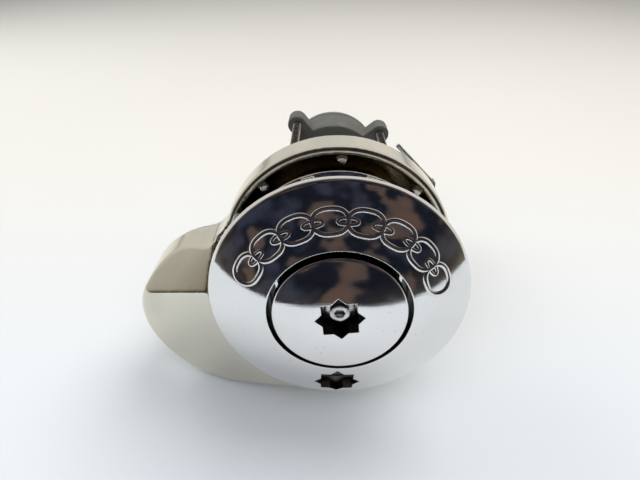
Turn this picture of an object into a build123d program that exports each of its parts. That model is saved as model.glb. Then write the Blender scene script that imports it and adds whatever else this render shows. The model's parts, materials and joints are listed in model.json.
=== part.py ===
from build123d import *

import os
from math import acos, atan2, cos, degrees, hypot, radians, sin, sqrt

# Vertical anchor windlass for rope and chain, in millimetres.
# +Z runs up the main shaft, out of the deck. z = 0 is the deck, under the gasket.
# The chain pipe's cowl points to +X and a little to +Y. The motor hangs on the +Y side.

# Base and cowl
BASE_R = 65.5
BASE_TOP = 21.0
GASKET = 1.5
WALL = 4.0
DISH_FLOOR = 13.5
HUB_TOP = 20.0
COWL_ANGLE = 29.0
COWL_REACH = 79.0
COWL_R = 47.0
COWL_TOP = 53.5
COWL_BREAK = 60.0
COWL_SLOPE = 21.0
COWL_DRAFT = 28.0
COWL_CORNER = 20.0
COWL_SHOULDER = 6.0
LIP_ANGLE = -33.0
COWL_FLOOR = 5.0
DRUM_CLEAR_R = 69.0
PIPE_REACH = 85.0
PIPE_ANGLE = 22.0
PIPE_R = 17.0
PIPE_BORE_R = 14.5
PIPE_BOTTOM = -28.0
SCREW_CIRCLE_R = 58.0
SCREW_HEAD_R = 2.6
SCREW_SEAT = 18.4
PIN_R = 2.0
PIN_BOTTOM = 17.2
PIN_HEAD = 43.5
ARM_LOW = 38.8
ARM_HIGH = 42.8
SET_SCREW_R = 2.5
SET_SCREW_ALONG = 68.0
SET_SCREW_Z = 35.0

# Main shaft and its bearings
SHAFT_R = 10.0
NECK_R = 9.0
NECK_Z = 37.5
SHAFT_TOP = 68.0
RUNNING = 0.05
BEARING_R = 17.5
SEAL_R = 16.0

# Drum: gypsy, clutch cones, cap and clutch nut
GYPSY_BOTTOM = 24.0
GYPSY_TOP = 56.0
FLANGE_R = 55.0
UPPER_FLANGE_R = 60.0
GROOVE_R = 36.0
CONE_GAP = 0.35
RIB_COUNT = 10
CAP_R = 66.5
CAP_RIM_Z = 62.6
CAP_BORE_R = 35.8
CAP_BORE_Z = 74.3
NUT_R = 33.15
NUT_EDGE_Z = 75.9
NUT_TOP = 78.2
NUT_CORNER = ((0, 1), (0.3, 0.3), (1, 0))
STAR_FLATS = 17.5
STAR_TURN = 5.7
SIDE_STAR_R = 51.0

# Below the deck
CLAMP_Z = -34.0
STUD_CIRCLE_R = 45.0
STUD_TURN = 39.0
STUD_R = 3.0
TUBE_R = 19.0
TUBE_BORE_R = 15.0
BOX_TOP = -107.0
BOX_BOTTOM = -143.0
BOX_R = 35.0
IDLER_BULGE = 25.5
LOBE_R = 7.0
LOBE_BOTTOM = -123.0
COVER = 5.0

# Gears: all of module 1, in two stages
WHEEL_TEETH = 58
IDLER_PINION_TEETH = 14
IDLER_TEETH = 40
PINION_TEETH = 12
MODULE = 1.0
MOTOR_REACH = 47.0
MOTOR_ANGLE = 84.0
MOTOR_R = 26.0
MOTOR_TOP = -49.0

COWL_DIR = (cos(radians(COWL_ANGLE)), sin(radians(COWL_ANGLE)))
SLOW_GAP = MODULE * (WHEEL_TEETH + IDLER_PINION_TEETH) / 2
FAST_GAP = MODULE * (IDLER_TEETH + PINION_TEETH) / 2
IDLER_OFFSET = (SLOW_GAP**2 - FAST_GAP**2 + MOTOR_REACH**2) / (2 * MOTOR_REACH * SLOW_GAP)
IDLER_ANGLE = MOTOR_ANGLE - degrees(acos(IDLER_OFFSET))
MOTOR_X = MOTOR_REACH * cos(radians(MOTOR_ANGLE))
MOTOR_Y = MOTOR_REACH * sin(radians(MOTOR_ANGLE))
IDLER_X = SLOW_GAP * cos(radians(IDLER_ANGLE))
IDLER_Y = SLOW_GAP * sin(radians(IDLER_ANGLE))
FAST_MESH = degrees(atan2(MOTOR_Y - IDLER_Y, MOTOR_X - IDLER_X))

LOW = (Align.CENTER, Align.CENTER, Align.MIN)


def disc(radius, bottom, top, x=0.0, y=0.0):
    """An upright cylinder between two heights."""
    return Pos(x, y, bottom) * Cylinder(radius, top - bottom, align=LOW)


def ring(outer, inner, bottom, top, x=0.0, y=0.0):
    """An upright tube between two heights."""
    return disc(outer, bottom, top, x, y) - disc(inner, bottom - 1, top + 1, x, y)


def turned(points):
    """The solid of revolution of a closed outline of (radius, height) points."""
    outline = Polyline([(radius, 0, height) for radius, height in points], close=True)
    return revolve(make_face(outline), Axis.Z)


def polar(radius, angle):
    """The x and y of a point at a radius and an angle in degrees."""
    return radius * cos(radians(angle)), radius * sin(radians(angle))


def around(solid, angles):
    """Copies of a solid, turned about the shaft."""
    return [Rot(0, 0, angle) * solid for angle in angles]


def group(solids):
    """Several separate solids as one shape."""
    return Compound(list(solids))


def hexagon(flats, bottom, top):
    """An upright hexagonal prism."""
    face = RegularPolygon(flats / 2, 6, major_radius=False)
    return Pos(0, 0, bottom) * extrude(face, top - bottom)


def star(bottom, top):
    """The eight-pointed socket for a winch handle: two squares at 45 degrees."""
    square = Rectangle(STAR_FLATS, STAR_FLATS)
    return Pos(0, 0, bottom) * extrude(square + Rot(0, 0, 45) * square, top - bottom)


def gear(teeth, bottom, top, bore, turn=0.0):
    """A spur gear with straight-flanked teeth; one tooth is centred on angle turn."""
    pitch_r = MODULE * teeth / 2
    flank = [(-1.2, 1.0), (0.0, 0.62), (0.75, 0.36)]
    points = []
    for tooth in range(teeth):
        centre = radians(turn + 360 * tooth / teeth)
        for side, steps in ((-1, flank), (1, flank[::-1])):
            for rise, half_width in steps:
                radius = pitch_r + rise * MODULE
                angle = centre + side * half_width * MODULE / radius
                points.append((radius * cos(angle), radius * sin(angle)))
    face = make_face(Polyline(points, close=True)) - Circle(bore)
    return Pos(0, 0, bottom) * extrude(face, top - bottom)


def base_outline(inset):
    """The base seen from above: the round ring and the cowl's round end, joined by a
    straight side at the bottom and a hollow corner at the top."""
    ring_r = BASE_R - inset
    cowl_r = COWL_R - inset
    ux, uy = COWL_DIR
    centre = (COWL_REACH * ux, COWL_REACH * uy)
    normal = radians(COWL_ANGLE) + acos((ring_r - cowl_r) / COWL_REACH)
    ring_touch = (ring_r * cos(normal), ring_r * sin(normal))
    cowl_touch = (centre[0] + cowl_r * cos(normal), centre[1] + cowl_r * sin(normal))
    along = (ring_r**2 + COWL_REACH**2 - cowl_r**2) / (2 * COWL_REACH)
    across = sqrt(ring_r**2 - along**2)
    corner = (along * ux + across * uy, along * uy - across * ux)
    cowl_far = (centre[0] + cowl_r * ux, centre[1] + cowl_r * uy)
    ring_far = (-ring_r * ux, -ring_r * uy)
    edges = [
        Line(ring_touch, cowl_touch),
        ThreePointArc(cowl_touch, cowl_far, corner),
        ThreePointArc(corner, ring_far, ring_touch),
    ]
    face = make_face(edges)
    vertex = face.vertices().sort_by_distance(Vector(corner[0], corner[1], 0))[0]
    return fillet(vertex, COWL_CORNER + inset)


def rounded_top(block, radius):
    """A block with the edges of its highest flat face rounded."""
    face = block.faces().filter_by(GeomType.PLANE).sort_by(Axis.Z)[-1]
    return fillet(face.edges(), radius)


def rounded_block(inset, bottom, top, shoulder):
    """The base outline raised to a level top that falls away over the cowl, whose hollow
    side leans inward above the ring."""
    outline = base_outline(inset)
    level = Pos(0, 0, bottom) * extrude(outline, top - bottom)
    above = Pos(COWL_BREAK, 0, top) * Rot(0, COWL_SLOPE, 0) * Box(400, 400, 200, align=LOW)
    sloped = Pos(0, 0, bottom) * extrude(outline, 2 * top) - Rot(0, 0, COWL_ANGLE) * above
    side = Box(400, 200, 200, align=(Align.CENTER, Align.MAX, Align.MIN))
    side = Pos(0, inset - COWL_R, BASE_TOP) * Rot(-COWL_DRAFT, 0, 0) * side
    block = rounded_top(level, shoulder) & rounded_top(sloped, shoulder)
    return block - Rot(0, 0, COWL_ANGLE) * side


def at_motor(solid):
    """A solid moved from the main shaft's axis to the motor's."""
    return Pos(MOTOR_X, MOTOR_Y, 0) * solid


def stud_places(first=0):
    """The places of the four deck studs, or of the two outer ones from first = 2."""
    return [polar(STUD_CIRCLE_R, STUD_TURN + 90 * k) for k in range(first, 4)]


# Places that several pieces share
PIPE_PLACE = polar(PIPE_REACH, PIPE_ANGLE)
CAP_SCREWS = [polar(48, angle) for angle in (-90, 0, 180, -45, 225)]
ARM_PIVOT = polar(59.7, -25)
ARM_TIP = polar(46, 12)
STRIPPER_ANGLE = 72.0
EARTH_TIP = (-51.0, -16.0)
EARTH_ROOT = (-84.0, 17.6)
EARTH_Z = -119.0


def base_housing():
    """Ring, dish, bearing hub and hollow cowl in one casting."""
    body = rounded_block(0, GASKET, COWL_TOP, COWL_SHOULDER)
    body -= disc(DRUM_CLEAR_R, BASE_TOP, COWL_TOP + 5)
    cowl = rounded_block(WALL, COWL_FLOOR, COWL_TOP - WALL, COWL_SHOULDER - WALL)
    body -= cowl - disc(BASE_R, 0, BASE_TOP)
    lip_r = COWL_TOP - BASE_TOP
    lip = Pos(0, 0, COWL_TOP) * Rot(0, 90, 0) * Cylinder(lip_r, 130, align=LOW)
    body -= Rot(0, 0, LIP_ANGLE) * lip
    rim_r = BASE_R - 3.5
    dish = [(0, HUB_TOP), (24, HUB_TOP), (26, DISH_FLOOR), (48, DISH_FLOOR)]
    body -= turned(dish + [(rim_r, BASE_TOP), (rim_r, BASE_TOP + 2), (0, BASE_TOP + 2)])
    body -= turned([(BASE_R - 1.5, BASE_TOP + 0.1), (BASE_R, BASE_TOP + 0.1), (BASE_R, BASE_TOP - 1.5)])
    floor = DISH_FLOOR - WALL
    inner_r = BASE_R - WALL
    under = [(28, 0), (28, floor), (48, floor), (inner_r, 16.5), (inner_r, 0)]
    body -= turned(under)
    for x, y in stud_places():
        body += disc(8, GASKET, floor, x, y)
        body -= disc(STUD_R, 0, floor - 0.5, x, y)
    body -= disc(BEARING_R, 0, 14)
    body -= disc(SEAL_R, 13, HUB_TOP + 1)
    body -= disc(PIPE_R, 0, COWL_FLOOR + 1, *PIPE_PLACE)
    for x, y in screw_places():
        body -= disc(1.5, SCREW_SEAT - 7, BASE_TOP, x, y)
        body -= disc(SCREW_HEAD_R, SCREW_SEAT, BASE_TOP, x, y)
    return body - set_screw_hole() - arm_seat() - stripper_holes()


def screw_places():
    """Places of the dish screws, on the side away from the cowl."""
    return [polar(SCREW_CIRCLE_R, 134 + 45 * k) for k in range(5)]


def dish_screws():
    """Domed screws in the dish."""
    screws = []
    for x, y in screw_places():
        head = disc(SCREW_HEAD_R, SCREW_SEAT, SCREW_SEAT + 2.2, x, y)
        head = fillet(head.faces().sort_by(Axis.Z)[-1].edges(), 1.6)
        screws.append(head + disc(1.5, SCREW_SEAT - 6, SCREW_SEAT, x, y))
    return group(screws)


def deck_gasket():
    """Rubber sheet under the base, with holes for the tube, studs and pipe."""
    sheet = extrude(base_outline(0.8), GASKET)
    sheet -= disc(28, -1, GASKET + 1)
    sheet -= disc(PIPE_R, -1, GASKET + 1, *PIPE_PLACE)
    for x, y in stud_places():
        sheet -= disc(STUD_R + 0.3, -1, GASKET + 1, x, y)
    return sheet


def hawse_pipe():
    """Flanged tube that leads the chain down through the deck."""
    x, y = PIPE_PLACE
    pipe = disc(PIPE_R, PIPE_BOTTOM, COWL_FLOOR + 2, x, y)
    pipe += disc(PIPE_R + 1.4, COWL_FLOOR, COWL_FLOOR + 2, x, y)
    return pipe - disc(PIPE_BORE_R, PIPE_BOTTOM - 1, COWL_FLOOR + 3, x, y)


def set_screw_frame():
    """Place of the set screw, pointing out of the cowl's straight side."""
    normal = COWL_ANGLE + degrees(acos((BASE_R - COWL_R) / COWL_REACH))
    x, y = polar(BASE_R - WALL, normal)
    ux, uy = polar(SET_SCREW_ALONG, normal - 90)
    return Pos(x + ux, y + uy, SET_SCREW_Z) * Rot(0, 0, normal) * Rot(0, 90, 0)


def set_screw_hole():
    return set_screw_frame() * Cylinder(SET_SCREW_R, WALL + 2, align=LOW)


def set_screw():
    """Headless screw with a hexagonal recess."""
    screw = Cylinder(SET_SCREW_R, WALL - 0.8, align=LOW) - hexagon(2.5, 1.5, WALL)
    return set_screw_frame() * screw


def arm_seat():
    x, y = ARM_PIVOT
    return disc(PIN_R, PIN_BOTTOM, BASE_TOP + 1, x, y)


def arm_pin():
    """Upright pivot of the pressure arm, with a head."""
    x, y = ARM_PIVOT
    return disc(PIN_R, PIN_BOTTOM, PIN_HEAD, x, y) + disc(3.4, PIN_HEAD, PIN_HEAD + 1.5, x, y)


def arm_spring():
    """Torsion spring around the pin, below the arm."""
    x, y = ARM_PIVOT
    coil = Helix(pitch=1.6, height=12.8, radius=2.9)
    wire = sweep(Plane(coil @ 0, z_dir=coil % 0) * Circle(0.5), coil, is_frenet=True)
    return Pos(x, y, 23.5) * wire


def pressure_arm():
    """Lever that presses the rope into the groove."""
    (x0, y0), (x1, y1) = ARM_PIVOT, ARM_TIP
    length = hypot(x1 - x0, y1 - y0)
    turn = degrees(atan2(y1 - y0, x1 - x0))
    bar = Pos(length / 2, 0, ARM_LOW) * Box(length, 5, ARM_HIGH - ARM_LOW, align=LOW)
    bar += disc(3.6, ARM_LOW, ARM_HIGH) + disc(4.2, ARM_LOW, ARM_HIGH, length, 0)
    bar -= disc(PIN_R + RUNNING, ARM_LOW - 1, ARM_HIGH + 1)
    return Pos(x0, y0, 0) * Rot(0, 0, turn) * bar


def stripper():
    """Fixed finger that peels the chain off the gypsy."""
    foot = Pos(60, 0, BASE_TOP) * Box(6, 14, 19.5, align=LOW)
    finger = Pos(50.25, 0, 39.6) * Box(25.5, 6, 3.2, align=LOW)
    nose = disc(3, 39.6, 42.8, 40.5, 0)
    return Rot(0, 0, STRIPPER_ANGLE) * (foot + finger + nose - stripper_drill())


def stripper_drill():
    return disc(1.5, 12, 34, 60.5, -4.5) + disc(1.5, 12, 34, 60.5, 4.5)


def stripper_holes():
    return Rot(0, 0, STRIPPER_ANGLE) * stripper_drill()


def stripper_screws():
    screw = disc(1.5, 15, 33.5)
    places = (-4.5, 4.5)
    return group(Rot(0, 0, STRIPPER_ANGLE) * Pos(60.5, y, 0) * screw for y in places)


def bearing_races(outer, bore, bottom, top, x=0.0, y=0.0):
    """A sealed ball bearing as one ring with a groove in both faces."""
    body = ring(outer, bore, bottom, top, x, y)
    mid = (outer + bore) / 2
    width = (outer - bore) * 0.2
    groove = ring(mid + width, mid - width, bottom - 1, bottom + 0.6, x, y)
    groove += ring(mid + width, mid - width, top - 0.6, top + 1, x, y)
    return body - groove


def main_shaft():
    """Stepped shaft, tapped at the top and keyed for the lower cone and the wheel."""
    shaft = disc(SHAFT_R, BOX_BOTTOM + 1.5, NECK_Z) + disc(NECK_R, NECK_Z, SHAFT_TOP)
    shaft -= disc(3, SHAFT_TOP - 16, SHAFT_TOP + 1)
    return shaft - cone_key() - wheel_key()


def key(bottom, top):
    return Pos(SHAFT_R, 0, bottom) * Box(5, 5, top - bottom, align=LOW)


def cone_key():
    return key(22.5, 35)


def wheel_key():
    return key(-133, -124)


def lower_cone():
    """Clutch cone keyed to the shaft, under the gypsy."""
    cone = turned([(SHAFT_R, 21.5), (29, 21.5), (29, 25), (21, 37), (SHAFT_R, 37)])
    return cone - cone_key()


def upper_cone():
    """Clutch cone pressed down by the nut."""
    bore = NECK_R + RUNNING
    return turned([(bore, 46.5), (21, 46.5), (29, 58), (bore, 58)])


def gypsy():
    """Grooved wheel with ribs that grip rope and chain."""
    wheel = [
        (29 + CONE_GAP, GYPSY_BOTTOM),
        (FLANGE_R - 1, GYPSY_BOTTOM),
        (FLANGE_R, GYPSY_BOTTOM + 1),
        (FLANGE_R, GYPSY_BOTTOM + 3),
        (GROOVE_R, 38),
        (GROOVE_R, 44),
        (UPPER_FLANGE_R, 54),
        (UPPER_FLANGE_R, GYPSY_TOP),
        (29, GYPSY_TOP),
        (21.4, 45.6),
        (12, 45.6),
        (12, NECK_Z + 0.3),
        (21.4, NECK_Z + 0.3),
        (29 + CONE_GAP, 25),
    ]
    body = turned(wheel)
    step = 360 / RIB_COUNT
    low_rib = sector([(54, 24.5), (54, 29.5), (44, 36.3), (44, 30)], 7)
    high_rib = sector([(58, 54), (58, 50.5), (44, 44.4), (44, 50)], 7)
    for index in range(RIB_COUNT):
        body += Rot(0, 0, index * step) * low_rib
        body += Rot(0, 0, (index + 0.5) * step) * high_rib
    return body


def sector(points, width):
    """A slab with the given (radius, height) outline, standing along a radius."""
    outline = Polyline([(radius, -width / 2, height) for radius, height in points], close=True)
    return extrude(make_face(outline), width, dir=(0, 1, 0))


def gypsy_bush():
    """Bronze bush pressed into the gypsy."""
    return ring(12, NECK_R + RUNNING, NECK_Z + 0.3, 45.6)


def cap_profile(lift):
    """Edge of the cap's dome from the rim to the bore, as radius and height."""
    return [(CAP_R - 1.2, CAP_RIM_Z), (51, 69.6 + lift), (CAP_BORE_R, CAP_BORE_Z + lift)]


def cap_body(lift):
    """The cap's outer shape, its dome raised by lift."""
    rim, mid, crown = cap_profile(lift)
    bottom = GYPSY_TOP + 0.4
    line = [
        Line((CAP_BORE_R, 0, bottom), (CAP_R - 2.5, 0, bottom)),
        ThreePointArc((CAP_R - 2.5, 0, bottom), (CAP_R, 0, bottom + 3.1), (rim[0], 0, rim[1])),
        ThreePointArc((rim[0], 0, rim[1]), (mid[0], 0, mid[1]), (crown[0], 0, crown[1])),
        Line((crown[0], 0, crown[1]), (CAP_BORE_R, 0, bottom)),
    ]
    return revolve(make_face(line), Axis.Z)


def drum_cap():
    """Domed cap on the gypsy, with a second handle socket."""
    cap = cap_body(0)
    hollow = turned([(41, 50), (41, 64), (58, 61), (58, 50)])
    boss = disc(16, 50, 80, 0, SIDE_STAR_R)
    cap -= hollow - boss
    cap += ring(UPPER_FLANGE_R, 58, GYPSY_TOP, GYPSY_TOP + 0.4)
    cap += ring(41, CAP_BORE_R, GYPSY_TOP, GYPSY_TOP + 0.4)
    for x, y in CAP_SCREWS:
        cap += disc(5, GYPSY_TOP + 0.4, 64, x, y)
        cap -= disc(2, 50, 63, x, y)
    return cap - Pos(0, SIDE_STAR_R, 0) * star(59, 80)


def cap_screws():
    """Screws that hold the cap, sunk in the gypsy's top."""
    return group(disc(2, GYPSY_TOP, 62.5, x, y) for x, y in CAP_SCREWS)


def clutch_nut():
    """Centre cap that threads on the shaft; its socket takes the winch handle."""
    edge = [
        Line((9.05, 0, 60), (24, 0, 60)),
        Line((24, 0, 60), (24, 0, 69)),
        Line((24, 0, 69), (NUT_R, 0, 69)),
        Line((NUT_R, 0, 69), (NUT_R, 0, NUT_EDGE_Z - 1)),
        ThreePointArc(*[(NUT_R - inset, 0, NUT_EDGE_Z - drop) for inset, drop in NUT_CORNER]),
        ThreePointArc((NUT_R - 1, 0, NUT_EDGE_Z), (20, 0, 77.6), (9.05, 0, NUT_TOP)),
        Line((9.05, 0, NUT_TOP), (9.05, 0, 60)),
    ]
    body = revolve(make_face(edge), Axis.Z)
    return body - Rot(0, 0, STAR_TURN) * star(66, NUT_TOP + 2)


def retaining_screw():
    """Cap screw in the shaft's top end."""
    head = disc(4.8, 69.5, 73.5) - hexagon(5, 70.8, 75)
    return head + disc(2.95, SHAFT_TOP - 14, 69.5)


def spacer_tube():
    """Tube between the base and the gearbox, through the deck."""
    tube = ring(TUBE_R, TUBE_BORE_R, BOX_TOP, GASKET)
    return tube + ring(27, TUBE_BORE_R, -2.5, GASKET)


def deck_studs():
    """Long studs through the deck, screwed into the base and the gearbox."""
    top = DISH_FLOOR - WALL - 0.5
    bottoms = (BOX_TOP - 4, BOX_TOP - 4, LOBE_BOTTOM + 3, LOBE_BOTTOM + 3)
    return group(disc(STUD_R, low, top, x, y) for low, (x, y) in zip(bottoms, stud_places()))


def stud_nuts():
    """A nut on each stud, under the deck."""
    bottom = CLAMP_Z - 6.6
    nut = hexagon(10, bottom, bottom + 5) - disc(STUD_R, bottom - 1, bottom + 6)
    return group(Pos(x, y, 0) * nut for x, y in stud_places())


def stud_washers():
    """Wide washers between the deck and the nuts."""
    washer = ring(9, STUD_R, CLAMP_Z - 1.6, CLAMP_Z)
    return group(Pos(x, y, 0) * washer for x, y in stud_places())


def gearbox_outline():
    """Round front with a bulge for the idler and the motor's seat."""
    discs = Circle(BOX_R) + Pos(IDLER_X, IDLER_Y) * Circle(IDLER_BULGE) + Pos(MOTOR_X, MOTOR_Y) * Circle(27)
    return make_hull(discs.edges())


def cover_screw_places():
    places = [polar(BOX_R - WALL / 2, angle) for angle in (175, 219, 264, 309)]
    idler_x, idler_y = polar(IDLER_BULGE - WALL / 2, 30)
    return places + [(MOTOR_X, MOTOR_Y + 27 - WALL / 2), (IDLER_X + idler_x, IDLER_Y + idler_y)]


def gearbox_housing():
    """Cast box with four lobes for the studs and a lug for the earth stud."""
    box = Pos(0, 0, BOX_BOTTOM + COVER) * extrude(gearbox_outline(), BOX_TOP - BOX_BOTTOM - COVER)
    height = BOX_TOP - LOBE_BOTTOM
    for x, y in stud_places():
        box += disc(LOBE_R, LOBE_BOTTOM, BOX_TOP, x, y)
        neck = Pos(BOX_R, 0, LOBE_BOTTOM) * Box(20, 2 * LOBE_R, height, align=LOW)
        box += Rot(0, 0, degrees(atan2(y, x))) * neck
    box += Pos(-53, 19, EARTH_Z - 5) * Box(64, 9, 10, align=LOW)
    cavity = offset(gearbox_outline(), amount=-WALL)
    box -= Pos(0, 0, BOX_BOTTOM) * extrude(cavity, BOX_TOP - BOX_BOTTOM - 5)
    for x, y in cover_screw_places():
        box -= disc(1.2, BOX_BOTTOM, BOX_BOTTOM + COVER + 10, x, y)
    for x, y in stud_places():
        box -= disc(STUD_R, BOX_TOP - 4, BOX_TOP + 1, x, y)
    for x, y in stud_places(2):
        box -= disc(STUD_R, LOBE_BOTTOM + 3, BOX_TOP + 1, x, y)
    box -= disc(TUBE_BORE_R, BOX_TOP - 6, BOX_TOP + 1)
    box -= disc(8, BOX_TOP - 6, BOX_TOP + 1, MOTOR_X, MOTOR_Y)
    box -= disc(4, BOX_TOP - 6, BOX_TOP + 1, IDLER_X, IDLER_Y)
    return box - earth_stud()


def gearbox_cover():
    """Bottom plate that carries the lower bearing and the idler's axle."""
    plate = Pos(0, 0, BOX_BOTTOM) * extrude(gearbox_outline(), COVER)
    plate -= disc(BEARING_R, BOX_BOTTOM + 1.5, BOX_BOTTOM + COVER + 1)
    plate -= disc(4, BOX_BOTTOM + 1.5, BOX_BOTTOM + COVER + 1, IDLER_X, IDLER_Y)
    for x, y in cover_screw_places():
        plate -= disc(1.2, BOX_BOTTOM - 1, BOX_BOTTOM + COVER + 1, x, y)
        plate -= disc(1.9, BOX_BOTTOM - 1, BOX_BOTTOM + 2.5, x, y)
    return plate


def cover_screws():
    """Countersunk head screws of the bottom plate."""
    screw = disc(1.2, BOX_BOTTOM + 2.5, BOX_BOTTOM + COVER + 9)
    screw += disc(1.9, BOX_BOTTOM, BOX_BOTTOM + 2.5)
    screw -= hexagon(1.8, BOX_BOTTOM - 1, BOX_BOTTOM + 1.4)
    return group(Pos(x, y, 0) * screw for x, y in cover_screw_places())


def earth_stud():
    """Round-ended rod beside the gearbox, held in its lug."""
    (x0, y0), (x1, y1) = EARTH_ROOT, EARTH_TIP
    length = hypot(x1 - x0, y1 - y0)
    turn = degrees(atan2(y1 - y0, x1 - x0))
    rod = Cylinder(1.9, length, align=LOW)
    rod = fillet(rod.faces().sort_by(Axis.Z)[-1].edges(), 1.5)
    return Pos(x0, y0, EARTH_Z) * Rot(0, 0, turn) * Rot(0, 90, 0) * rod


def slow_wheel():
    """Large gear keyed to the main shaft."""
    wheel = gear(WHEEL_TEETH, -134, -123, SHAFT_R, IDLER_ANGLE)
    return wheel - wheel_key()


def idler_gear():
    """Compound gear: the motor's pinion drives its large row, its small row drives the wheel."""
    mesh = IDLER_ANGLE + 180 + 180 / IDLER_PINION_TEETH
    rows = gear(IDLER_PINION_TEETH, -135, -121, 4 + RUNNING, mesh)
    rows += gear(IDLER_TEETH, -121, -113.5, 4 + RUNNING, FAST_MESH)
    return Pos(IDLER_X, IDLER_Y, 0) * rows


def motor_pinion():
    """Small gear on the motor's shaft."""
    mesh = FAST_MESH + 180 + 180 / PINION_TEETH
    return at_motor(gear(PINION_TEETH, -121, -113.5, 3.5, mesh))


def motor_flange():
    """Plate between the gearbox and the motor's case."""
    plate = ring(MOTOR_R, 8, BOX_TOP, BOX_TOP + 4)
    for k in range(3):
        x, y = polar(18, 30 + 120 * k)
        plate -= disc(2, BOX_TOP - 1, BOX_TOP + 5, x, y)
    return at_motor(plate)


def flange_screws():
    screw = disc(2, BOX_TOP + 0.1, BOX_TOP + 3.9)
    return at_motor(group(Pos(*polar(18, 30 + 120 * k), 0) * screw for k in range(3)))


def motor_case():
    """Steel tube of the motor."""
    return at_motor(ring(MOTOR_R, MOTOR_R - 2.5, BOX_TOP + 4, MOTOR_TOP))


def motor_magnets():
    """Two curved magnets inside the case."""
    shell = ring(MOTOR_R - 2.6, 19, BOX_TOP + 8, MOTOR_TOP - 9)
    gap = Box(14, 80, 200)
    halves = (shell - Pos(0, 0, -80) * gap).solids()
    return at_motor(group(halves))


def armature():
    """Laminated core with eight winding slots."""
    core = ring(18.3, 3.5, BOX_TOP + 10, MOTOR_TOP - 11)
    slot = Pos(15.5, 0, -110) * Box(7, 2.6, 80, align=LOW)
    for copy in around(slot, [45 * k for k in range(8)]):
        core -= copy
    return at_motor(core)


def commutator():
    """Copper collar that the brushes touch."""
    collar = ring(9, 3.5, MOTOR_TOP - 9, MOTOR_TOP - 2)
    for copy in around(Pos(9, 0, -70) * Box(2, 0.6, 40, align=LOW), [30 * k for k in range(12)]):
        collar -= copy
    return at_motor(collar)


def motor_shaft():
    """Motor's shaft, from the upper bearing to the pinion."""
    return at_motor(disc(3.5, -121.5, MOTOR_TOP + 4))


def brush_holder():
    """Insulating ring with two brush channels."""
    holder = ring(MOTOR_R - 2.6, 12, MOTOR_TOP - 7, MOTOR_TOP - 2)
    channel = Pos(0, 0, MOTOR_TOP - 6) * Box(60, 5, 3, align=LOW)
    return at_motor(holder - channel)


def brushes():
    """Two carbon brushes."""
    brush = Pos(14.1, 0, MOTOR_TOP - 5.9) * Box(10, 4.8, 2.8, align=LOW)
    brush -= disc(9.1, MOTOR_TOP - 8, MOTOR_TOP)
    return at_motor(group(around(brush, (0, 180))))


def end_bell():
    """Upper cap of the motor, with the bearing's seat and the terminals' holes."""
    bell = disc(MOTOR_R, MOTOR_TOP, MOTOR_TOP + 6)
    bell = fillet(bell.faces().sort_by(Axis.Z)[-1].edges(), 2.5)
    bell -= disc(8, MOTOR_TOP - 1, MOTOR_TOP + 4.5)
    for x in (-15, 15):
        bell -= disc(2.5, MOTOR_TOP - 1, MOTOR_TOP + 7, x, 0)
    return at_motor(bell)


def terminals():
    """Two threaded posts for the battery cables."""
    post = disc(2.5, MOTOR_TOP + 0.5, MOTOR_TOP + 18)
    return at_motor(group(Pos(x, 0, 0) * post for x in (-15, 15)))


def terminal_nuts():
    bottom = MOTOR_TOP + 6
    nut = hexagon(8, bottom, bottom + 4) - disc(2.5, bottom - 1, bottom + 5)
    return at_motor(group(Pos(x, 0, 0) * nut for x in (-15, 15)))


def circlip():
    """Snap ring that keeps the wheel up against its key."""
    return ring(12.5, SHAFT_R, -135.2, -134) - Pos(-11, 0, -136) * Box(8, 5, 4, align=LOW)


NODES = {
    "base_housing": base_housing(),
    "dish_screws": dish_screws(),
    "deck_gasket": deck_gasket(),
    "hawse_pipe": hawse_pipe(),
    "set_screw": set_screw(),
    "arm_pin": arm_pin(),
    "arm_spring": arm_spring(),
    "pressure_arm": pressure_arm(),
    "stripper": stripper(),
    "stripper_screws": stripper_screws(),
    "upper_bearing": bearing_races(BEARING_R, SHAFT_R + RUNNING, GASKET, 14),
    "shaft_seal": ring(SEAL_R, SHAFT_R + RUNNING, 14, HUB_TOP - 0.5),
    "main_shaft": main_shaft(),
    "cone_key": cone_key(),
    "wheel_key": wheel_key(),
    "lower_cone": lower_cone(),
    "gypsy": gypsy(),
    "gypsy_bush": gypsy_bush(),
    "upper_cone": upper_cone(),
    "thrust_washer": ring(20, NECK_R + RUNNING, 58, 59.7),
    "drum_cap": drum_cap(),
    "cap_screws": cap_screws(),
    "clutch_nut": clutch_nut(),
    "retaining_washer": ring(7.8, 3, SHAFT_TOP, 69.5),
    "retaining_screw": retaining_screw(),
    "spacer_tube": spacer_tube(),
    "deck_studs": deck_studs(),
    "stud_nuts": stud_nuts(),
    "stud_washers": stud_washers(),
    "gearbox_housing": gearbox_housing(),
    "gearbox_cover": gearbox_cover(),
    "cover_screws": cover_screws(),
    "earth_stud": earth_stud(),
    "lower_bearing": bearing_races(BEARING_R, SHAFT_R + RUNNING, BOX_BOTTOM + 1.5, BOX_BOTTOM + 6.5),
    "slow_wheel": slow_wheel(),
    "circlip": circlip(),
    "idler_axle": disc(4, BOX_BOTTOM + 1.5, BOX_TOP, IDLER_X, IDLER_Y),
    "idler_gear": idler_gear(),
    "motor_pinion": motor_pinion(),
    "motor_shaft": motor_shaft(),
    "motor_flange": motor_flange(),
    "flange_screws": flange_screws(),
    "motor_case": motor_case(),
    "motor_magnets": motor_magnets(),
    "armature": armature(),
    "commutator": commutator(),
    "brush_holder": brush_holder(),
    "brushes": brushes(),
    "motor_bearing": bearing_races(8, 3.5 + RUNNING, BOX_TOP - 5, BOX_TOP + 4, MOTOR_X, MOTOR_Y),
    "bell_bearing": bearing_races(8, 3.5 + RUNNING, MOTOR_TOP, MOTOR_TOP + 4.5, MOTOR_X, MOTOR_Y),
    "end_bell": end_bell(),
    "terminals": terminals(),
    "terminal_nuts": terminal_nuts(),
}

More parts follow.
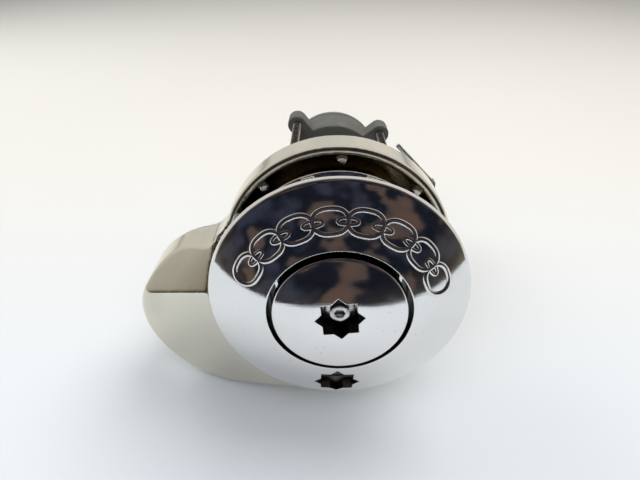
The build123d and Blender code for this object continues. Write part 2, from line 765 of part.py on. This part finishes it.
os.makedirs("parts", exist_ok=True)
for node, shape in NODES.items():
    export_step(shape, f"parts/{node}.step")
    print(node, round(shape.volume))
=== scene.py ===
import json
from math import atan2, cos, pi, radians, remainder, sin, sqrt

import bmesh
import bpy
from mathutils import Matrix, Vector


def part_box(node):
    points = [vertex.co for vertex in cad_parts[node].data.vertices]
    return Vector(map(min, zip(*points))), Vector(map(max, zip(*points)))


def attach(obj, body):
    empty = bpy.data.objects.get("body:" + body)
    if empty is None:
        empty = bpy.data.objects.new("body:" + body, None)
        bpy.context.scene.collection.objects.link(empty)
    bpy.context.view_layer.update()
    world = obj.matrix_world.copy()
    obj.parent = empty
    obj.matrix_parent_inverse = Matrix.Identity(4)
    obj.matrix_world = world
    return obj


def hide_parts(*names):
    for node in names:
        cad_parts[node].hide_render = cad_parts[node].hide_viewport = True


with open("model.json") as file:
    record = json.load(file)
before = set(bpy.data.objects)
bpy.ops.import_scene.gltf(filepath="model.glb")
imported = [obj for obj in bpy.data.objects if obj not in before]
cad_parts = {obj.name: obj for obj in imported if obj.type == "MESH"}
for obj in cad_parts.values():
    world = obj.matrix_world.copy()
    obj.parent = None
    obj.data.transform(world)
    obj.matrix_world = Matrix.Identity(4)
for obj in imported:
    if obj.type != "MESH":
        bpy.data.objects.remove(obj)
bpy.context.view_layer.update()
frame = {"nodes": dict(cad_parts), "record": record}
nodes = frame["nodes"]
body_of = {node: body for body, members in frame["record"]["behaviour"]["bodies"].items() for node in members}
slot_of = {part["node"]: part["material_slot"] for part in frame["record"]["subparts"]}
MM = 0.001


# Camera: above the shaft's end, with the deck side away and -Y up in the picture
CAMERA_PLACE = (10.0, -155.9, 264.0)
CAMERA_TARGET = (10.0, -34.15, 60.9)
CAMERA_ROLL = 0.01
SENSOR = 36
LENS = 28.125


def make_camera():
    data = bpy.data.cameras.new("camera")
    camera = bpy.data.objects.new("camera", data)
    bpy.context.scene.collection.objects.link(camera)
    place = Vector(CAMERA_PLACE) * MM
    target = Vector(CAMERA_TARGET) * MM
    forward = (target - place).normalized()
    up = Vector((0, -1, 0))
    right = forward.cross(up).normalized()
    up = right.cross(forward)
    turn = Matrix((right, up, -forward)).transposed().to_4x4()
    camera.matrix_world = Matrix.Translation(place) @ turn @ Matrix.Rotation(CAMERA_ROLL, 4, "Z")
    data.sensor_width = SENSOR
    data.lens = LENS
    data.clip_start = 0.005
    bpy.context.scene.camera = camera


make_camera()


# Materials
class Graph:
    """A material's node tree with short calls for the nodes used here."""

    def __init__(self, name):
        self.material = bpy.data.materials.new(name)
        self.material.use_nodes = True
        self.tree = self.material.node_tree
        self.shader = self.tree.nodes["Principled BSDF"]
        self.place = self.node("ShaderNodeTexCoord").outputs["Object"]

    def node(self, kind, **inputs):
        made = self.tree.nodes.new(kind)
        for key, value in inputs.items():
            self.put(made.inputs[key], value)
        return made

    def put(self, socket, value):
        if isinstance(value, bpy.types.NodeSocket):
            self.tree.links.new(value, socket)
        else:
            socket.default_value = value

    def stretched(self, x, y, z):
        """The object's coordinates scaled unevenly."""
        mapping = self.node("ShaderNodeMapping", Vector=self.place, Scale=(x, y, z))
        return mapping.outputs["Vector"]

    def noise(self, scale, detail=4.0, rough=0.55, where=None):
        where = where or self.place
        made = self.node("ShaderNodeTexNoise", Vector=where, Scale=scale, Detail=detail, Roughness=rough)
        return made.outputs["Fac"]

    def ramp(self, value, low, high, out_low=0.0, out_high=1.0):
        made = self.node("ShaderNodeMapRange", Value=value)
        made.clamp = True
        for key, number in (("From Min", low), ("From Max", high), ("To Min", out_low), ("To Max", out_high)):
            made.inputs[key].default_value = number
        return made.outputs["Result"]

    def mix(self, factor, first, second):
        made = self.tree.nodes.new("ShaderNodeMix")
        made.data_type = "RGBA"
        self.put(made.inputs[0], factor)
        self.put(made.inputs[6], first)
        self.put(made.inputs[7], second)
        return made.outputs[2]

    def math(self, operation, first, second):
        made = self.tree.nodes.new("ShaderNodeMath")
        made.operation = operation
        self.put(made.inputs[0], first)
        self.put(made.inputs[1], second)
        return made.outputs[0]

    def bump(self, height, strength, distance):
        made = self.node("ShaderNodeBump", Height=height, Strength=strength, Distance=distance)
        self.put(self.shader.inputs["Normal"], made.outputs["Normal"])

    def colour(self, value):
        self.put(self.shader.inputs["Base Color"], value)

    def rough(self, value):
        self.put(self.shader.inputs["Roughness"], value)


def rgba(red, green, blue):
    return (red, green, blue, 1.0)


def worn_metal(name, clean, stained, rough, grain=0.12, stain=0.5, wave=0.0):
    """Bright metal with handling smudges, fine random scratches and stains in patches."""
    graph = Graph(name)
    graph.shader.inputs["Metallic"].default_value = 1.0
    smudge = graph.noise(38, 7, 0.62)
    fine = graph.noise(900, 3, 0.6)
    scratch = graph.noise(60, 8, 0.7, graph.stretched(1, 14, 3))
    patches = graph.ramp(graph.noise(16, 6, 0.6), 0.5, 0.78, 0.0, stain)
    specks = graph.ramp(graph.noise(420, 2, 0.5), 0.69, 0.76, 0.0, 0.55)
    colour = graph.mix(graph.math("MAXIMUM", patches, specks), clean, stained)
    graph.colour(colour)
    low, high = rough
    base = graph.ramp(smudge, 0.38, 0.72, low, high)
    graph.rough(graph.math("ADD", base, graph.ramp(scratch, 0.55, 0.8, 0.0, 0.10)))
    relief = graph.math("ADD", graph.math("MULTIPLY", fine, 0.35), scratch)
    if wave:
        relief = graph.math("ADD", relief, graph.math("MULTIPLY", graph.noise(22, 2, 0.4), wave))
    graph.bump(relief, grain, 0.0002)
    return graph.material


def painted(name, paint, worn, rough, grain=0.5, scale=420):
    """Painted casting: orange-peel grain, dust in patches and paint worn on edges."""
    graph = Graph(name)
    edge = graph.ramp(graph.node("ShaderNodeNewGeometry").outputs["Pointiness"], 0.53, 0.62)
    patch = graph.ramp(graph.noise(45, 6, 0.65), 0.48, 0.72, 0.0, 0.6)
    wear = graph.math("MULTIPLY", edge, graph.ramp(graph.noise(160, 4), 0.35, 0.6))
    tone = graph.mix(patch, paint, rgba(*[value * 0.72 + 0.02 for value in paint[:3]]))
    graph.colour(graph.mix(wear, tone, worn))
    graph.rough(graph.ramp(graph.noise(90, 4), 0.3, 0.75, rough - 0.1, rough + 0.15))
    graph.bump(graph.noise(scale, 4, 0.6), grain, 0.0003)
    return graph.material


def turned_metal(name, tone, dark, rough, lines=2600):
    """Machined metal: fine rings left by the lathe, and grease in patches."""
    graph = Graph(name)
    graph.shader.inputs["Metallic"].default_value = 1.0
    rings = graph.noise(1.0, 2, 0.5, graph.stretched(12, 12, lines))
    patch = graph.ramp(graph.noise(60, 5, 0.6), 0.45, 0.75, 0.0, 0.75)
    graph.colour(graph.mix(patch, tone, dark))
    graph.rough(graph.ramp(graph.noise(140, 4), 0.3, 0.7, rough - 0.08, rough + 0.14))
    graph.bump(rings, 0.25, 0.0002)
    return graph.material


def moulded(name, tone, rough, scale=700):
    """Rubber or plastic with a moulded grain and a little dust."""
    graph = Graph(name)
    dust = graph.ramp(graph.noise(70, 6, 0.7), 0.5, 0.8, 0.0, 0.5)
    graph.colour(graph.mix(dust, tone, rgba(*[value * 0.7 + 0.05 for value in tone[:3]])))
    graph.rough(graph.ramp(graph.noise(120, 3), 0.3, 0.7, rough - 0.1, rough + 0.1))
    graph.bump(graph.noise(scale, 4, 0.65), 0.35, 0.0002)
    return graph.material


LOOKS = {
    "polished": worn_metal(
        "polished", rgba(0.80, 0.79, 0.77), rgba(0.50, 0.46, 0.40), (0.035, 0.11), 0.05, 0.25
    ),
    "cast_chrome": worn_metal(
        "cast_chrome", rgba(0.72, 0.69, 0.59), rgba(0.50, 0.46, 0.36), (0.09, 0.22), 0.05, 0.5, 1.2
    ),
    "stainless": turned_metal("stainless", rgba(0.74, 0.73, 0.71), rgba(0.42, 0.40, 0.36), 0.24),
    "bearing_steel": turned_metal("bearing_steel", rgba(0.60, 0.60, 0.60), rgba(0.30, 0.29, 0.26), 0.22),
    "bronze": turned_metal("bronze", rgba(0.70, 0.50, 0.26), rgba(0.34, 0.22, 0.10), 0.3),
    "gear_steel": turned_metal("gear_steel", rgba(0.48, 0.48, 0.48), rgba(0.20, 0.18, 0.14), 0.3),
    "rubber": moulded("rubber", rgba(0.030, 0.030, 0.030), 0.62),
    "plastic": moulded("plastic", rgba(0.045, 0.045, 0.047), 0.45),
    "grey_cast": painted("grey_cast", rgba(0.078, 0.078, 0.070), rgba(0.22, 0.22, 0.20), 0.5),
    "motor_paint": painted("motor_paint", rgba(0.060, 0.066, 0.072), rgba(0.35, 0.34, 0.32), 0.42, 0.3),
    "magnet": painted("magnet", rgba(0.07, 0.07, 0.07), rgba(0.16, 0.16, 0.15), 0.6),
    "copper": turned_metal("copper", rgba(0.80, 0.45, 0.28), rgba(0.36, 0.20, 0.12), 0.28),
    "laminations": turned_metal("laminations", rgba(0.30, 0.30, 0.31), rgba(0.14, 0.12, 0.10), 0.4, 900),
}
# Painted shade on regions: darker metal on the socket walls, in the gap around the nut, and on the dish under
# the drum
# Painted shade in the handle sockets: darker metal on the socket walls
LOOKS["socket"] = worn_metal("socket", rgba(0.17, 0.16, 0.13), rgba(0.08, 0.07, 0.05), (0.28, 0.5), 0.3, 0.6)
# Painted shade in the gap around the nut: near-black metal for the cap's bore wall and the nut's side
LOOKS["gap_shade"] = worn_metal("gap_shade", rgba(0.06, 0.06, 0.055), rgba(0.03, 0.028, 0.02), (0.35, 0.6), 0.3, 0.6)
# Painted shade on the dish under the drum: darker metal in the recess
LOOKS["dish"] = worn_metal("dish", rgba(0.34, 0.31, 0.24), rgba(0.16, 0.14, 0.09), (0.08, 0.2), 0.1, 0.6)

for node, piece in nodes.items():
    piece.data.materials.clear()
    piece.data.materials.append(LOOKS[slot_of[node]])


# Mesh tools
def finished(name, mesh, body, look, angle=35):
    """Links a mesh as a piece of a body, smooth except over sharp edges."""
    piece = bpy.data.objects.new(name, mesh)
    bpy.context.scene.collection.objects.link(piece)
    mesh.materials.append(LOOKS[look])
    mesh.shade_smooth()
    mesh.set_sharp_from_angle(angle=radians(angle))
    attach(piece, body)
    return piece


def applied(piece):
    """The piece with its modifiers worked into its mesh."""
    graph = bpy.context.evaluated_depsgraph_get()
    mesh = bpy.data.meshes.new_from_object(piece.evaluated_get(graph))
    piece.modifiers.clear()
    piece.data = mesh
    return piece


def stands_for(node):
    """Shows a finished piece in place of its CAD node."""
    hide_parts(node)


def merge(mesh):
    """Joins the corners that a CAD mesh keeps apart on its edges."""
    work = bmesh.new()
    work.from_mesh(mesh)
    bmesh.ops.remove_doubles(work, verts=work.verts, dist=1e-6)
    work.to_mesh(mesh)
    work.free()


def bevelled(node, width):
    """A copy of a CAD piece with its sharp edges rounded."""
    mesh = nodes[node].data.copy()
    mesh.materials.clear()
    merge(mesh)
    piece = finished(node + "_finished", mesh, body_of[node], slot_of[node])
    bevel = piece.modifiers.new("edges", "BEVEL")
    bevel.width = width * MM
    bevel.segments = 2
    bevel.limit_method = "ANGLE"
    bevel.angle_limit = radians(35)
    bevel.use_clamp_overlap = True
    applied(piece)
    piece.data.set_sharp_from_angle(angle=radians(40))
    stands_for(node)
    return piece


def refined(node, voxel, passes):
    """A copy of a CAD casting as an even, softly rounded mesh."""
    mesh = nodes[node].data.copy()
    mesh.materials.clear()
    merge(mesh)
    piece = finished(node + "_finished", mesh, body_of[node], slot_of[node], 80)
    even = piece.modifiers.new("even", "REMESH")
    even.mode = "VOXEL"
    even.voxel_size = voxel * MM
    even.use_smooth_shade = True
    soft = piece.modifiers.new("soft", "SMOOTH")
    soft.factor = 0.5
    soft.iterations = passes
    applied(piece)
    stands_for(node)
    return piece


def repaint(piece, look, inside):
    """Gives the faces whose centre passes a test a second material, which here is painted shade."""
    mesh = piece.data
    mesh.materials.append(LOOKS[look])
    slot = len(mesh.materials) - 1
    for face in mesh.polygons:
        x, y, z = face.center / MM
        if inside(sqrt(x * x + y * y), z, face.normal):
            face.material_index = slot


def grid_mesh(name, rows, closed_columns=False, caps=False):
    """A mesh from rows of points, each row a loop."""
    mesh = bpy.data.meshes.new(name)
    across = len(rows[0])
    points = [point for row in rows for point in row]
    faces = []
    row_count = len(rows) if closed_columns else len(rows) - 1
    for i in range(row_count):
        for j in range(across):
            low = i * across
            high = (i + 1) % len(rows) * across
            faces.append((low + j, low + (j + 1) % across, high + (j + 1) % across, high + j))
    if caps:
        faces.append(tuple(reversed(range(across))))
        faces.append(tuple(range(len(points) - across, len(points))))
    mesh.from_pydata([Vector(point) * MM for point in points], [], faces)
    work = bmesh.new()
    work.from_mesh(mesh)
    bmesh.ops.recalc_face_normals(work, faces=work.faces)
    work.to_mesh(mesh)
    work.free()
    return mesh


def lathe(name, profile, steps=256):
    """A closed (radius, height) outline turned about the shaft."""
    angles = [2 * pi * k / steps for k in range(steps)]
    rows = [[(r * cos(a), r * sin(a), z) for a in angles] for r, z in profile]
    return grid_mesh(name, rows, closed_columns=True)


def arc(first, middle, last, count):
    """Points along the circle through three (radius, height) points."""
    (ax, ay), (bx, by), (cx, cy) = first, middle, last
    d = 2 * (ax * (by - cy) + bx * (cy - ay) + cx * (ay - by))
    a2, b2, c2 = ax * ax + ay * ay, bx * bx + by * by, cx * cx + cy * cy
    ox = (a2 * (by - cy) + b2 * (cy - ay) + c2 * (ay - by)) / d
    oy = (a2 * (cx - bx) + b2 * (ax - cx) + c2 * (bx - ax)) / d
    radius = sqrt((ax - ox) ** 2 + (ay - oy) ** 2)
    start, mid, end = (atan2(y - oy, x - ox) for x, y in (first, middle, last))
    mid = start + remainder(mid - start, 2 * pi)
    end = mid + remainder(end - mid, 2 * pi)
    steps = [start + (end - start) * k / count for k in range(count + 1)]
    return [(ox + radius * cos(a), oy + radius * sin(a)) for a in steps]


# Handle sockets
STAR_FLATS = 17.5
STAR_CHAMFER = 0.35
NUT_STAR_TURN = 5.7
SIDE_STAR_R = 51


def star_points(turn, centre=(0, 0)):
    """Corners of the eight-pointed socket: tips and the notches between them."""
    tip = STAR_FLATS / sqrt(2)
    notch = STAR_FLATS / 2 / cos(pi / 8)
    points = []
    for k in range(8):
        for radius, angle in ((tip, k * 45 + 45), (notch, k * 45 + 67.5)):
            a = radians(angle + turn)
            points.append((centre[0] + radius * cos(a), centre[1] + radius * sin(a)))
    return points


def cut_star(piece, turn, centre, floor):
    """Cuts a handle socket, with painted shade on its walls: the darker socket metal."""
    rows = [[(x, y, z) for x, y in star_points(turn, centre)] for z in (floor, floor + 40)]
    mesh = grid_mesh("cutter", rows, caps=True)
    mesh.materials.append(LOOKS["socket"])
    cutter = bpy.data.objects.new("cutter", mesh)
    bpy.context.scene.collection.objects.link(cutter)
    cut = piece.modifiers.new("socket", "BOOLEAN")
    cut.operation = "DIFFERENCE"
    cut.solver = "EXACT"
    cut.material_mode = "TRANSFER"
    cut.object = cutter
    applied(piece)
    bpy.data.objects.remove(cutter)
    edge = piece.modifiers.new("edge", "BEVEL")
    edge.width = STAR_CHAMFER * MM
    edge.segments = 2
    edge.limit_method = "ANGLE"
    edge.angle_limit = radians(40)
    applied(piece)
    piece.data.set_sharp_from_angle(angle=radians(38))


# Drum cap
RIM = (65.3, 62.6)
MIDDLE = (51.0, 69.6)
CROWN = (36.3, 74.2)


def dome_height(radius):
    """Height of the cap's dome at a radius, on the circle through its three points."""
    samples = arc(RIM, MIDDLE, CROWN, 60)
    for (r0, z0), (r1, z1) in zip(samples, samples[1:]):
        if r1 <= radius <= r0:
            return z0 + (z1 - z0) * (radius - r0) / (r1 - r0)
    return samples[-1][1]


def cap_outline():
    """The cap in section: underside, rim band, dome and bore."""
    under = [(36, 56.1), (41, 56.1), (41.5, 63.5), (57, 60.6), (58, 56.5), (64.0, 56.5)]
    rim = arc((64.0, 56.5), (66.45, 59.4), RIM, 14)
    dome = arc(RIM, MIDDLE, CROWN, 64)
    bore = [(35.95, 74.05), (35.8, 73.7), (35.8, 66.0)]
    return under + rim[1:] + dome[1:] + bore


def make_drum_cap():
    piece = finished("drum_cap_finished", lathe("drum_cap", cap_outline(), 288), "drum", "polished")
    cut_star(piece, 0, (0, SIDE_STAR_R), 59)
    # Painted shade: the cap's bore wall around the nut in near-black metal
    repaint(piece, "gap_shade", lambda radius, z, normal: radius < 36.1 and normal.z < 0.3)
    stands_for("drum_cap")


# Raised chain on the cap: places of its links and bars, as radius and angles in degrees
RELIEF_R = 49.5
RELIEF_STEP = 18.6
FIRST_LINK = 202
FIRST_BAR = 211.3
LINK_COUNT = 8


def link_path(angle, length, width, count=44):
    """A chain link's centre line laid on the dome, with the dome's normal at each point."""
    path = []
    for k in range(count):
        t = 2 * pi * k / count
        along = length / 2 * (1 if cos(t) > 0 else -1) * abs(cos(t)) ** 0.75
        radius = RELIEF_R + width / 2 * sin(t)
        a = radians(angle) + along / RELIEF_R
        z = dome_height(radius)
        slope = (dome_height(radius + 0.3) - dome_height(radius - 0.3)) / 0.6
        normal = Vector((-slope * cos(a), -slope * sin(a), 1)).normalized()
        path.append((Vector((radius * cos(a), radius * sin(a), z)), normal))
    return path


def tube_mesh(name, path, radius, sides=12, sink=0.25):
    """A closed tube along a path, partly sunk into the surface below it."""
    rows = []
    for k, (point, normal) in enumerate(path):
        ahead = path[(k + 1) % len(path)][0] - path[k - 1][0]
        side = ahead.cross(normal).normalized()
        centre = point - normal * sink
        ring = [2 * pi * j / sides for j in range(sides)]
        rows.append([centre + (side * cos(a) + normal * sin(a)) * radius for a in ring])
    return grid_mesh(name, rows, closed_columns=True)


def make_relief():
    """A generic chain of raised links on the far half of the cap."""
    for index in range(LINK_COUNT):
        angle = FIRST_LINK + index * RELIEF_STEP
        mesh = tube_mesh("relief", link_path(angle, 16.5, 11.0), 1.45, sink=0.5)
        link = finished(f"relief_link_{index}", mesh, "drum", "polished", 60)
    for index in range(LINK_COUNT - 1):
        angle = FIRST_BAR + index * RELIEF_STEP
        mesh = tube_mesh("relief", link_path(angle, 9.5, 2.8), 1.05, sink=0.2)
        link = finished(f"relief_bar_{index}", mesh, "drum", "polished", 60)


# Clutch nut
def make_clutch_nut():
    lower = [(9.1, 60), (24, 60), (24, 69), (33.0, 69)]
    edge = arc((33.15, 69.4), (33.16, 72), (33.15, 74.9), 3)
    corner = arc((33.15, 74.9), (32.85, 75.6), (32.2, 75.9), 5)
    dome = arc((32.2, 75.9), (20, 77.55), (9.1, 78.2), 40)
    mesh = lathe("clutch_nut", lower + edge + corner[1:] + dome[1:], 224)
    piece = finished("clutch_nut_finished", mesh, "nut", "polished")
    cut_star(piece, NUT_STAR_TURN, (0, 0), 66)
    # Painted shade: the nut's side, in the gap to the cap, in near-black metal
    repaint(piece, "gap_shade", lambda radius, z, normal: radius > 32.9 and normal.z < 0.3 and z < 75)
    stands_for("clutch_nut")


# Threads
STUD_CIRCLE_R = 45.0
STUD_TURN = 39.0
STUD_R = 3.0
STUD_PITCH = 1.0
THREAD_DEPTH = 0.42
SHORT_STUD_BOTTOM = -111.0


def threaded(name, node, radius, bottom, top, pitch, x, y):
    """A screw-threaded rod with chamfered ends."""
    sides = 36
    rows = []
    count = int((top - bottom) / pitch * 2)
    for i in range(count + 1):
        row = []
        for j in range(sides):
            z = bottom + (i - 1) * pitch / 2 + pitch * j / sides
            z = min(max(z, bottom), top)
            near = min(z - bottom, top - z)
            depth = THREAD_DEPTH if i % 2 else 0.0
            r = radius - max(depth, 0.9 - near)
            a = 2 * pi * j / sides
            row.append((x + r * cos(a), y + r * sin(a), z))
        rows.append(row)
    piece = finished(name, grid_mesh(name, rows, caps=True), body_of[node], slot_of[node], 30)
    return piece


def make_studs():
    low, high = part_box("deck_studs")
    for k in range(4):
        x, y = (STUD_CIRCLE_R * f(radians(STUD_TURN + 90 * k)) for f in (cos, sin))
        bottom = SHORT_STUD_BOTTOM if k < 2 else low[2] / MM
        threaded(f"stud_{k}", "deck_studs", STUD_R, bottom, high[2] / MM, STUD_PITCH, x, y)
    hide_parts("deck_studs")


# Castings and smaller pieces
make_drum_cap()
make_relief()
make_clutch_nut()
make_studs()
base = refined("base_housing", 0.8, 6)
# Painted shade: the dish under the drum in darker metal
repaint(base, "dish", lambda radius, z, normal: radius < 61.9 and 5 < z < 21.5)
refined("gypsy", 0.7, 3)
refined("gearbox_housing", 0.9, 2)
refined("pressure_arm", 0.4, 3)
refined("stripper", 0.4, 3)
BEVELS = {
    "stud_nuts": 0.5, "stud_washers": 0.3, "spacer_tube": 0.4, "gearbox_cover": 0.5, "deck_gasket": 0.2,
    "hawse_pipe": 0.5, "retaining_screw": 0.35, "retaining_washer": 0.25, "terminal_nuts": 0.4,
    "motor_flange": 0.4, "motor_case": 0.3, "dish_screws": 0.2, "arm_pin": 0.4, "set_screw": 0.2,
    "cover_screws": 0.2,
}
for node, width in BEVELS.items():
    bevelled(node, width)
for node, piece in nodes.items():
    piece.data.shade_smooth()
    piece.data.set_sharp_from_angle(angle=radians(35))


# Floor, light and surroundings
def make_floor():
    """The table: a plane under the lying object, touching cowl and gearbox, open from behind."""
    side, front, back = 2.2, 0.235, -2.6
    level, tilt = 0.0853, 0.076
    near, far_end = level + tilt * front, level + tilt * back
    mesh = bpy.data.meshes.new("floor")
    corners = [(-side, far_end, back), (side, far_end, back), (side, near, front), (-side, near, front)]
    mesh.from_pydata(corners, [], [(0, 1, 2, 3)])
    floor = bpy.data.objects.new("floor", mesh)
    bpy.context.scene.collection.objects.link(floor)
    if mesh.polygons[0].normal.y > 0:
        mesh.flip_normals()
    graph = Graph("floor")
    tree = graph.tree
    along = graph.node("ShaderNodeSeparateXYZ", Vector=graph.place).outputs["Z"]
    far = graph.mix(graph.noise(3.0, 3), rgba(0.64, 0.63, 0.60), rgba(0.67, 0.66, 0.63))
    # Painted shade: the floor turns bluer towards the front, near the camera
    graph.colour(graph.mix(graph.ramp(along, -0.25, 0.2), far, rgba(0.62, 0.665, 0.72)))
    graph.shader.inputs["Roughness"].default_value = 0.9
    clear = tree.nodes.new("ShaderNodeBsdfTransparent")
    blend = tree.nodes.new("ShaderNodeMixShader")
    graph.put(blend.inputs["Fac"], graph.node("ShaderNodeNewGeometry").outputs["Backfacing"])
    graph.put(blend.inputs[1], graph.shader.outputs[0])
    graph.put(blend.inputs[2], clear.outputs[0])
    graph.put(tree.nodes["Material Output"].inputs["Surface"], blend.outputs[0])
    mesh.materials.append(graph.material)


def area_light(name, place, target, size, power, tint=(1, 1, 1), mirrored=True):
    data = bpy.data.lights.new(name, "AREA")
    data.shape = "DISK"
    data.size = size
    data.energy = power
    data.color = tint
    lamp = bpy.data.objects.new(name, data)
    bpy.context.scene.collection.objects.link(lamp)
    lamp.visible_glossy = mirrored
    lamp.location = place
    lamp.rotation_euler = (Vector(target) - Vector(place)).to_track_quat("-Z", "Y").to_euler()


def make_world():
    """Pale surroundings with a dark, cluttered room beyond the shaft's end."""
    world = bpy.data.worlds.new("world")
    bpy.context.scene.world = world
    world.use_nodes = True
    tree = world.node_tree
    where = tree.nodes.new("ShaderNodeTexCoord")
    dot = tree.nodes.new("ShaderNodeVectorMath")
    dot.operation = "DOT_PRODUCT"
    dot.inputs[1].default_value = Vector((0, -0.42, 0.91)).normalized()
    tree.links.new(where.outputs["Generated"], dot.inputs[0])
    ramp = tree.nodes.new("ShaderNodeValToRGB")
    stops = ramp.color_ramp
    stops.elements[0].position = 0.02
    stops.elements[0].color = (0.80, 0.79, 0.76, 1)
    stops.elements[1].position = 0.62
    stops.elements[1].color = (0.010, 0.012, 0.020, 1)
    for position, color in ((0.12, (0.30, 0.27, 0.22, 1)), (0.34, (0.055, 0.045, 0.035, 1))):
        stops.elements.new(position).color = color
    tree.links.new(dot.outputs["Value"], ramp.inputs["Fac"])
    clutter = tree.nodes.new("ShaderNodeTexNoise")
    clutter.inputs["Scale"].default_value = 3.4
    clutter.inputs["Detail"].default_value = 2.5
    tree.links.new(where.outputs["Generated"], clutter.inputs["Vector"])
    tones = tree.nodes.new("ShaderNodeValToRGB")
    shades = tones.color_ramp
    shades.elements[0].position = 0.36
    shades.elements[0].color = (0.030, 0.034, 0.050, 1)
    shades.elements[1].position = 0.68
    shades.elements[1].color = (0.12, 0.070, 0.048, 1)
    furniture = (
        (0.48, (0, 0, 0, 1)),
        (0.56, (0.004, 0.004, 0.006, 1)),
        (0.60, (0.085, 0.060, 0.045, 1)),
    )
    for position, color in furniture:
        shades.elements.new(position).color = color
    tree.links.new(clutter.outputs["Fac"], tones.inputs["Fac"])
    room = tree.nodes.new("ShaderNodeMix")
    room.data_type = "RGBA"
    room.blend_type = "ADD"
    room.inputs[0].default_value = 1.0
    tree.links.new(ramp.outputs["Color"], room.inputs[6])
    tree.links.new(tones.outputs["Color"], room.inputs[7])
    tree.links.new(room.outputs[2], tree.nodes["Background"].inputs["Color"])
    tree.nodes["Background"].inputs["Strength"].default_value = 0.9


make_floor()
make_world()
area_light("key", (-0.55, -1.25, -0.35), (0, 0, 0), 1.3, 17, (1.0, 0.985, 0.95), mirrored=False)
area_light("fill", (0.9, -0.7, -0.5), (0, 0, 0), 0.9, 6, mirrored=False)
area_light("front", (0.15, -0.9, 0.9), (0, 0, 0), 1.6, 14, (0.94, 0.97, 1.0), mirrored=False)

bpy.context.scene.view_settings.view_transform = "Standard"
